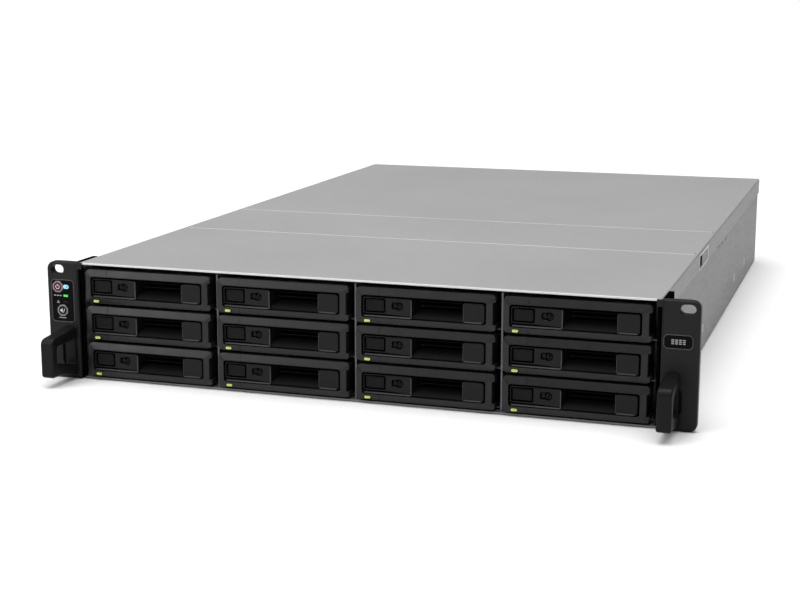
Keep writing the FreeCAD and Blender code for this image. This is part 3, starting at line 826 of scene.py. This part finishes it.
def lever_parts():
    """Button end, finger recess with ramp and slats, hinge end, and the key lock."""
    u, v = LOCK
    keyhole = (circle(u, v, 3.0, 20, math.radians(-130), math.radians(125))
               + [(u - 4.6, v + 2.4), (u - 5.3, v + 1.7), (u - 5.3, v - 1.5), (u - 4.6, v - 2.2)])
    pocket = rect((6.2, 21.9), (8.3, 18.6), 1.2)
    parts = []
    put(parts, "lever", plate(rect((5.4, 41.0), (5.4, 19.2), 1.5, 5), (0.7, LEVER_BACK), 0.5,
                              pockets=[(pocket, 5.4), (keyhole, 4.5)], steps=3),
        plate(rect((77.9, 92.9), (5.4, 19.2), 1.8, 5), (0.7, LEVER_BACK), 0.5, steps=3))
    put(parts, "button", turned([(2.0, 4.6), (2.0, 1.7), (1.7, 1.45), (0.0, 1.45)], u + 0.6, v - 0.4, 28))
    put(parts, "recess", block((u + 0.3, u + 0.9), (1.4, 1.6), (v - 1.6, v + 0.8), 0.0))
    put(parts, "button", block((u - 4.7, u - 1.9), (2.2, 4.0), (v - 1.7, v + 1.8), 0.3))
    # Lighter strips on the ends' inner edges and ledges under them: painted highlight.
    for span in ((40.35, 41.05), (77.85, 78.25)):
        put(parts, "edge", block(span, (0.5, 1.3), (6.0, 18.6), 0.25))
    ledge = [(0.5, 6.35), (0.1, 6.0), (0.15, 5.6), (0.7, 5.3), (3, 5.3), (3, 6.35)]
    for span in ((6.4, 40.4), (78.6, 91.0)):
        put(parts, "edge", sideways(plate(ledge, span, 0.12)))
    # Ramp, cheeks and slats use a darker black than the lever: painted shade in the finger recess.
    ramp = [(1.2, 5.3), (1.0, 5.9), (2.4, 7.6), (5.0, 9.9), (7.0, 11.3),
            (LEVER_BACK, 11.4), (LEVER_BACK, 5.3)]
    put(parts, "ramp", sideways(plate(ramp, SCOOP, 0.0)))
    slots = [rect((46, 76), (12.0 + 2.7 * k, 13.6 + 2.7 * k), 0.5) for k in range(3)]
    # The wall behind the recess and the strip under its top are near-black: painted shade and painted shadow.
    put(parts, "recess", plate(rect(SCOOP, (11.3, 20.0)), (7.0, LEVER_BACK), 0.0, slots),
        block(SCOOP, (3.2, LEVER_BACK), (19.3, 20.0), 0.0))
    for cheek in ([(41.0, 1.3), (43.4, 7.2), (40.8, 7.2)], [(77.9, 1.3), (78.1, 7.2), (76.6, 7.2)]):
        put(parts, "ramp", lying(plate(cheek, (5.4, 19.4), 0.0)))
    for height in (14.6, 17.7):
        slat = [(4.6, height - 0.15), (4.7, height + 0.3), (7.2, height + 0.5), (7.2, height - 0.3)]
        put(parts, "ramp", sideways(plate(slat, (45.8, 76.4), 0.0)))
    return parts


def release_parts():
    """Cap with a shallow dish, in the lever's pocket."""
    dish = rect((8.4, 19.7), (10.4, 16.5), 1.6, 5)
    cap_form = plate(rect((7.3, 20.8), (9.3, 17.6), 1.0, 5), (1.2, 3.4), 0.5, pockets=[(dish, 1.45)], steps=3)
    return [(cap_form, M["button"])]


def make_trays():
    """Twelve alike trays; each lever's place in the frame gives its tray's corner."""
    kinds = [("bay_tray", build("tray_mesh", tray_parts()), "tray", "tray_black"),
             ("bay_lever", build("lever_mesh", lever_parts()), "tray_lever", "lever_black"),
             ("bay_release", build("release_mesh", release_parts()), "release_button", "button_dark")]
    for number in range(1, 13):
        end = "_%02d" % number
        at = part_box("tray_lever" + end)[0] - Vector((5.2, 0.3, 5.2)) * MM
        for name, mesh, node, slot in kinds:
            place(name + end, mesh, node + end, at, [node + end])

# ------------------------------------------------------------------ inside

BOARD_TOP = 9.6
POSTS = [(x, y) for x in (-195, -40, 115) for y in (315, 480, 640)]
CHIPS = [(-176, 520, 14, 14, 1.2), (-176, 545, 18, 12, 1.5), (-90, 560, 24, 24, 2.2), (-60, 600, 12, 12, 1.0),
         (60, 600, 20, 14, 1.4), (90, 560, 12, 12, 1.1), (80, 350, 26, 18, 1.6), (-160, 340, 22, 22, 1.8),
         (-100, 345, 14, 9, 1.2), (60, 620, 12, 8, 1.0)]    # left edge, front edge, width, depth, height


def blade_form(x, z, hub, tip, y, turn, pitch):
    """One curved, twisted fan blade."""
    rings = []
    for k in range(7):
        share = k / 6
        radius = hub - 1 + (tip - hub + 1) * share
        base = turn + 0.16 * share
        sweep = pitch * (1.0 - 0.25 * share)
        lead, trail = [], []
        for j in range(9):
            along = j / 8
            angle = base + sweep * (along - 0.5)
            w = y[0] + (y[1] - y[0]) * (0.12 + 0.76 * along)
            bulge = 1.3 * math.sin(math.pi * along) + 0.45
            lead.append((x + radius * math.cos(angle), w - bulge, z + radius * math.sin(angle)))
            trail.append((x + radius * math.cos(angle), w + 0.45, z + radius * math.sin(angle)))
        rings.append(lead + trail[::-1])
    return loft(rings)


def rotor_parts(x, z, hub, tip, y, blades):
    """Domed hub with blades."""
    low, high = y
    dome = [(0.0, low + 0.6), (hub * 0.45, low + 0.5), (hub * 0.82, low + 0.9), (hub, low + 2.6), (hub, high),
            (0.0, high)]
    step = 2 * math.pi / blades
    parts = []
    put(parts, "fan", turned(dome, x, z),
        *[blade_form(x, z, hub, tip, y, step * k, step * 0.8) for k in range(blades)])
    return parts


def fan_frame_parts(x, z, size, y, bore, hub, corners=True):
    """Square housing with a round bore, corner holes, motor seat and four arms."""
    half = size / 2
    holes = [circle(x, z, bore, 48)]
    if corners:
        holes += [circle(x + a * (half - 4), z + b * (half - 4), 2.0, 14) for a in (-1, 1) for b in (-1, 1)]
    back, end = y[1] - 2.5, y[1] - 0.3
    parts = []
    put(parts, "fan", plate(rect((x - half, x + half), (z - half, z + half), size * 0.05), y, 0.5, holes),
        turned([(0, back), (hub, back), (hub, end), (0, end)], x, z))
    for turn in range(4):
        angle = math.pi / 4 + turn * math.pi / 2
        along = Vector((math.cos(angle), math.sin(angle)))
        across = Vector((-along.y, along.x)) * size * 0.02
        near, far = along * (hub - 1), along * (bore + 0.5)
        arm = [(x + p.x, z + p.y) for p in (near + across, far + across, far - across, near - across)]
        put(parts, "fan", plate(arm, (back, end), 0.3))
    return parts


def make_fans():
    """Three fans behind the drives, each centred on its rotor in the frame."""
    z = 42.5
    frames = []
    for number in (1, 2, 3):
        rotor = "fan_rotor_%d" % number
        low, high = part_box(rotor)
        x = (low.x + high.x) / 2 / MM
        frames += fan_frame_parts(x, z, 80.0, (205, 243), 38.5, 18.0)
        piece("fan_wheel_%d" % number, rotor_parts(x, z, 17.0, 36.8, (207, 237), 7), rotor,
              replaces=[rotor], slot="fan_plastic")
    piece("fan_housings", frames, replaces=["fan_frames"], slot="fan_plastic")


def on_board(x, y, w, d, h, bevel=0.2, radius=0.0):
    """Block that stands on the mainboard, from its left front corner and its size."""
    return block((x, x + w), (y, y + d), (BOARD_TOP, BOARD_TOP + h), bevel, radius)


def make_mainboard():
    """Board on posts, with chips, capacitors, slots, headers, coils and a finned chipset."""
    parts = []
    holes = [circle(x, y, 1.8, 14) for x, y in POSTS]
    put(parts, "board", lying(plate(rect((-205, 125), (305, 652), 2), (8, BOARD_TOP), 0.1, holes)))
    for x, y in POSTS:
        put(parts, "gold", lying(turned([(3.0, 1.2), (3.0, 8.0)], x, y, 6)))
        put(parts, "bright", lying(turned([(0, 10.9), (2.2, 10.6), (2.8, BOARD_TOP)], x, y, 16)))
    put(parts, "chip", *[on_board(*chip) for chip in CHIPS])
    can = [(3.9, BOARD_TOP), (4.0, 18.5), (3.6, 19), (0, 19)]
    put(parts, "bright", *[lying(turned(can, -190 + 10.5 * k, 400, 20)) for k in range(9)])
    put(parts, "connector", *[on_board(-195 + 12 * k, 440, 7, 38, 8.5, 0.4) for k in range(6)])
    put(parts, "beige", *[on_board(-190 + 28 * k, 312, 22, 5.5, 9, 0.4) for k in range(5)])
    put(parts, "cast", *[on_board(-130 + 11 * k, 388, 8, 8, 5, 0.8, 1.0) for k in range(8)])
    put(parts, "fins", on_board(-150, 560, 38, 38, 3, 0.3))
    for x in [-150 + 4.08 * k for k in range(10)]:
        put(parts, "fins", block((x, x + 1.2), (560, 598), (12.6, 24.0), 0.2))
    piece("mainboard_assembly", parts, replaces=["mainboard"], slot="circuit_board")


def make_heatsink():
    parts = []
    put(parts, "fins", lying(plate(rect((-120, -30), (420, 510), 2), (BOARD_TOP, 17), 0.5)))
    for x in [-120 + 2.79 * k for k in range(33)]:
        put(parts, "fins", block((x, x + 0.7), (420, 510), (17, 68), 0.15))
    piece("processor_heatsink", parts, replaces=["cpu_heatsink"], slot="bare_aluminium")


def make_memory():
    """Four modules in their sockets, between end latches."""
    parts = []
    for x in (10, 21, 32, 43):
        put(parts, "connector", block((x - 3, x + 3), (390, 532), (BOARD_TOP, 15), 0.5))
        for y in ((386, 391), (531, 536)):
            put(parts, "beige", block((x - 3.2, x + 3.2), y, (BOARD_TOP, 26), 0.6))
        put(parts, "board", block((x - 0.6, x + 0.6), (394.5, 527.5), (14, 44), 0.1))
        for y in [399 + 14 * k for k in range(9)]:
            put(parts, "chip", block((x - 1.7, x + 1.7), (y, y + 11), (20, 36), 0.2))
    piece("memory_bank", parts, replaces=["memory_modules"], slot="circuit_board")


def make_backplane():
    """Board behind the drives, with air holes and twelve sockets."""
    corners = [(-209.4 + 106 * column, 2.6 + 27.6 * row) for column in range(4) for row in range(3)]
    openings = [rect((x + 12, x + 90), (z + 13, z + 23), 2) for x, z in corners]
    parts = []
    put(parts, "board_blue", plate(rect((-210, 210), (3, 84), 2), (186, 187.6), 0.1, openings))
    for x, z in corners:
        put(parts, "connector", block((x + 12, x + 46), (179, 186.2), (z + 4, z + 10), 0.5))
        put(parts, "gold", block((x + 14, x + 44), (177.5, 180), (z + 6.3, z + 7.5), 0.2))
    piece("backplane_board", parts, replaces=["backplane"], slot="circuit_board")

# ------------------------------------------------------------------ rear

PSU = (73.5, 40.0, 185.0)      # width, height, depth
SCREW = [(0.0, -0.1), (0.9, -0.2), (1.3, -0.95), (2.3, -0.75), (2.9, 0.0)]
NETWORK = [((-140 + 18 * k, -128.2 + 18 * k), (14, 22)) for k in range(4)] + [((-58, -46.2), (14, 22))]
USB = [((-30, -17), (12 + 10 * k, 17.2 + 10 * k)) for k in range(2)]
EXPANSION = [((34 * k, 26 + 34 * k), (13, 20)) for k in range(2)]


def rearward(form):
    """A plate drawn facing -Y turned to face +Y."""
    return [(a, -b, c) for a, b, c in form[0]], form[1]


def from_rear(parts, x=0.0, z=0.0):
    """Parts drawn with the rear plane at Y zero, moved to their place."""
    return [(moved(form, x, CASE_DEPTH, z), material) for form, material in parts]


def put_socket(parts, mouth, tongue, tongue_z, contacts=0):
    """Metal shell round a dark mouth, with a tongue, and with a row of contacts at the top."""
    (x0, x1), (_, top) = mouth
    shell = plate(rect(*grown(mouth, 0.7), 0.6), (-0.4, 16), 0.25, pockets=[(rect(*mouth, 0.4), 14)])
    put(parts, "bright", rearward(shell))
    put(parts, tongue, rearward(block((x0 + 1, x1 - 1), (1.5, 14), tongue_z, 0.2)))
    for k in range(contacts):
        u = x0 + 2.0 + k * (x1 - x0 - 4.0) / (contacts - 1)
        put(parts, "gold", rearward(block((u - 0.22, u + 0.22), (2, 13), (top - 1.0, top - 0.6), 0.0)))


def vent_holes():
    """Staggered six-sided air holes above the sockets."""
    holes = []
    for left, low, rows, columns in ((8, 47, 6, 19), (-142, 44, 5, 21)):
        for row in range(rows):
            for column in range(columns):
                x = left + column * 6.4 + (3.2 if row % 2 else 0)
                holes.append(circle(x, low + row * 5.6, 2.6, 6, math.pi / 6, 2 * math.pi + math.pi / 6))
    return holes


def make_rear_panel():
    """Rear sheet with its slot covers and screws, the sockets, and the sheets round the supplies."""
    psu_x = (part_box("psu_1")[0] - CASE).x / MM
    holes = [rect((psu_x - 0.6, psu_x + PSU[0] + 0.6), (1.6, 84.2), 0.8)]
    holes += [rect((-196 + 22 * k, -184 + 22 * k), (8, 72), 0.5) for k in range(2)]
    holes += [rect(*grown(mouth, 0.9), 0.6) for mouth in NETWORK + USB + EXPANSION]
    sheet = rect((-212.6, 212.6), (1.3, 85.2), 0.6)
    parts = []
    put(parts, "zinc", rearward(plate(sheet, (0, 1.2), 0.12, holes + vent_holes())))
    for x in (-197.5, -175.5):
        slots = [rect((x + 5.5, x + 9.5), (14 + 8 * k, 18.5 + 8 * k), 1.4) for k in range(7)]
        put(parts, "psu", rearward(plate(rect((x, x + 15), (4, 80), 0.8), (1.2, 2.0), 0.1, slots)))
        put(parts, "bright", rearward(turned(SCREW, x + 7.5, 77, 20)))
    for x, z in ((-208, 40), (-150, 80), (-60, 80), (4, 80), (128, 80), (-208, 8), (128, 8)):
        put(parts, "bright", rearward(turned(SCREW, x, z, 20)))
    piece("rear_panel_sheet", from_rear(parts), replaces=["rear_panel"], slot="galvanised_sheet")

    parts = []
    for mouth in NETWORK:
        (x0, x1), (_, top) = mouth
        put_socket(parts, mouth, "connector", (top - 2.2, top - 1.1), 8)
        for x in (x0 + 0.4, x1 - 1.9):
            put(parts, "status", rearward(block((x, x + 1.5), (-0.5, 1), (top + 0.05, top + 0.6), 0.0)))
    for mouth in USB:
        put_socket(parts, mouth, "usb", (mouth[1][0] + 2.6, mouth[1][0] + 4.4))
    for mouth in EXPANSION:
        put_socket(parts, mouth, "connector", (mouth[1][0] + 2.6, mouth[1][0] + 4.2))
    piece("rear_sockets", from_rear(parts), slot="galvanised_sheet")

    depth = (-PSU[2], -1.3)
    parts = []
    put(parts, "zinc", block((psu_x - 2.2, psu_x - 1.2), depth, (1.3, 84.2), 0.1),
        block((psu_x - 1.2, 212.5), depth, (42.0, 42.8), 0.1))
    piece("psu_cage", from_rear(parts), slot="galvanised_sheet")


def supply_parts():
    """Hot-swap module from its lower left corner: case, fan guard, inlet, handle, latch, lamp."""
    width, height, depth = PSU
    inlet = rect((44, 71), (10, 30), 1.0)
    parts = []
    put(parts, "psu", rearward(plate(rect((0, width), (0, height), 0.8), (0, depth), 0.4,
                                     pockets=[(circle(20, 20, 18.2, 40), 29), (inlet, 17)])))
    # Vent slots at the front end are near-black blocks: painted shade.
    for x in [6 + 8 * k for k in range(8)]:
        put(parts, "recess", block((x, x + 5.5), (-depth - 0.05, -depth + 0.4), (5, 35), 0.0))
    turns = [2 * math.pi * k / 40 for k in range(40)]
    for radius in (4.5, 8.5, 12.5, 16.5):
        ring = [(20 + radius * math.cos(t), 1.1, 20 + radius * math.sin(t)) for t in turns]
        put(parts, "bright", tube(ring, 0.65, 8, True))
    for angle in [math.radians(44.9999 + 90 * k) for k in range(4)]:    # rounding can't turn the facets
        spoke = [(20 + r * math.cos(angle), 0.9, 20 + r * math.sin(angle)) for r in (3.5, 18.5)]
        put(parts, "bright", tube(spoke, 0.65, 8))
    mouth = rounded([(45.6, 12), (69.4, 12), (69.4, 23), (64, 28.2), (51, 28.2), (45.6, 23)], 0.8)
    put(parts, "connector", rearward(plate(inlet, (-1.4, 16), 0.3, pockets=[(mouth, 15)])))
    for x, z in ((50.5, 19), (57.5, 23), (64.5, 19)):
        put(parts, "bright", rearward(block((x - 0.9, x + 0.9), (1, 15), (z - 2, z + 2), 0.3)))
    gap = rounded([(3, 9), (20.6, 9.6), (20.6, 30.4), (3, 31)], [1.5, 3, 3, 1.5])
    loop = rounded([(-0.5, 4.2), (24.6, 6), (24.6, 34), (-0.5, 35.8)], [0, 6, 6, 0], 7)
    put(parts, "connector", sideways(plate(loop, (38, 42), 1.2, [gap], steps=3)))
    tab = rounded([(46, 0), (69, 0), (69, 7), (66, 9), (49, 9), (46, 7)], 1.0)
    put(parts, "latch", lying(plate(tab, (33, 35.8), 0.6)))
    for x in [49.5 + 4.6 * k for k in range(4)]:
        put(parts, "latch", block((x, x + 2), (2, 8), (35.6, 36), 0.15))
    put(parts, "status", rearward(turned([(0, -0.7), (0.9, -0.6), (1.2, 0)], 47, 5, 16)))
    return parts + fan_frame_parts(20, 20, 36.3, (-28, -2), 17.9, 8.0, False)


def make_psus():
    for number in (1, 2):
        case, wheel = "psu_%d" % number, "psu_fan_%d" % number
        low = (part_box(case)[0] - CASE) / MM
        piece("supply_%d" % number, from_rear(supply_parts(), low.x, low.z), case,
              replaces=[case], slot="psu_case")
        rotor = rotor_parts(20, 20, 8.0, 17.0, (-26, -6), 7)
        piece("supply_wheel_%d" % number, from_rear(rotor, low.x, low.z), wheel,
              replaces=[wheel], slot="fan_plastic")

# ------------------------------------------------------------------ stage


def make_backdrop():
    """Pale ring round the floor, seen in level views; it neither lights nor shades the object."""
    radius, foot, top = 28000, -20, 16000
    turns = [2 * math.pi * k / 64 for k in range(64)]
    rings = [[(radius * math.cos(t), radius * math.sin(t), z) for t in turns] for z in (foot, top)]
    nodes = Nodes("backdrop_white")
    nodes.feed("Emission Color", nodes.ramp(nodes.noise(0.2), grey(0.99), grey(1.0)))
    nodes.set(Base_Color=(0, 0, 0, 1), Emission_Strength=1.0)
    mesh = build("backdrop", [(loft(rings, (False, False)), nodes.material)])
    backdrop = add_object("backdrop", mesh)
    for ray in ("diffuse", "glossy", "transmission", "shadow"):
        setattr(backdrop, "visible_" + ray, False)


def make_floor():
    bpy.ops.mesh.primitive_plane_add(size=60, location=(0, 0, -0.0005))
    floor = bpy.context.object
    floor.name = "floor"
    nodes = Nodes("floor_white")
    nodes.feed("Base Color", nodes.ramp(nodes.noise(3.0), grey(0.88), grey(0.9)))
    nodes.set(Roughness=0.9)
    floor.data.materials.append(nodes.material)


def make_lights():
    """Soft key from the left front and a soft top light."""
    for name, place_at, target, size, power in (
            ("key", (-1.02, -1.35, 0.85), (-0.3, -0.3, 0.05), 0.6, 7.6),
            ("top", (-0.2, -0.7, 1.7), (0, -0.2, 0), 1.0, 6.0)):
        light = bpy.data.lights.new(name, "AREA")
        light.size = size
        light.energy = power
        stand = add_object(name, light)
        stand.location = place_at
        aim = Vector(target) - Vector(place_at)
        stand.rotation_euler = aim.to_track_quat("-Z", "Y").to_euler()


def make_world():
    """White surround, dim at the horizon and bright overhead."""
    horizon, overhead, falloff = 0.12, 3.75, 5.0
    world = bpy.data.worlds.new("studio")
    bpy.context.scene.world = world
    world.use_nodes = True
    tree = world.node_tree
    background = tree.nodes["Background"].inputs
    background["Color"].default_value = (1, 1, 1, 1)
    height = tree.nodes.new("ShaderNodeSeparateXYZ")
    tree.links.new(tree.nodes.new("ShaderNodeTexCoord").outputs["Generated"], height.inputs["Vector"])
    source = height.outputs["Z"]
    for operation, values in (("POWER", [falloff]), ("MULTIPLY_ADD", [overhead, horizon])):
        node = tree.nodes.new("ShaderNodeMath")
        node.operation = operation
        node.use_clamp = operation == "POWER"
        for index, value in enumerate(values, 1):
            node.inputs[index].default_value = value
        tree.links.new(source, node.inputs[0])
        source = node.outputs["Value"]
    tree.links.new(source, background["Strength"])
    bpy.context.scene.view_settings.view_transform = "Standard"


def make_camera():
    """Camera right of centre and a little above, aimed across the front."""
    down, left = 11.652, 18.246
    data = bpy.data.cameras.new("camera")
    data.sensor_width = 36.0
    data.lens = 69.14
    data.clip_end = 200.0
    camera = add_object("camera", data)
    camera.location = CASE + Vector((360.1, -984.7, 289.9)) * MM
    camera.rotation_euler = (math.radians(90 - down), 0, math.radians(left))
    bpy.context.scene.camera = camera


make_floor()
make_backdrop()
make_lights()
make_world()
make_camera()
make_covers()
make_base()
make_rail_bosses()
make_ears()
make_control_panel()
make_panel_buttons()
make_trays()
make_fans()
make_mainboard()
make_heatsink()
make_memory()
make_backplane()
make_rear_panel()
make_psus()
# The cage gets the darker copy of the sheet steel: painted shade.
cage_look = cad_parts["drive_cage"].data.materials
cage_look.clear()
cage_look.append(M["cage"])
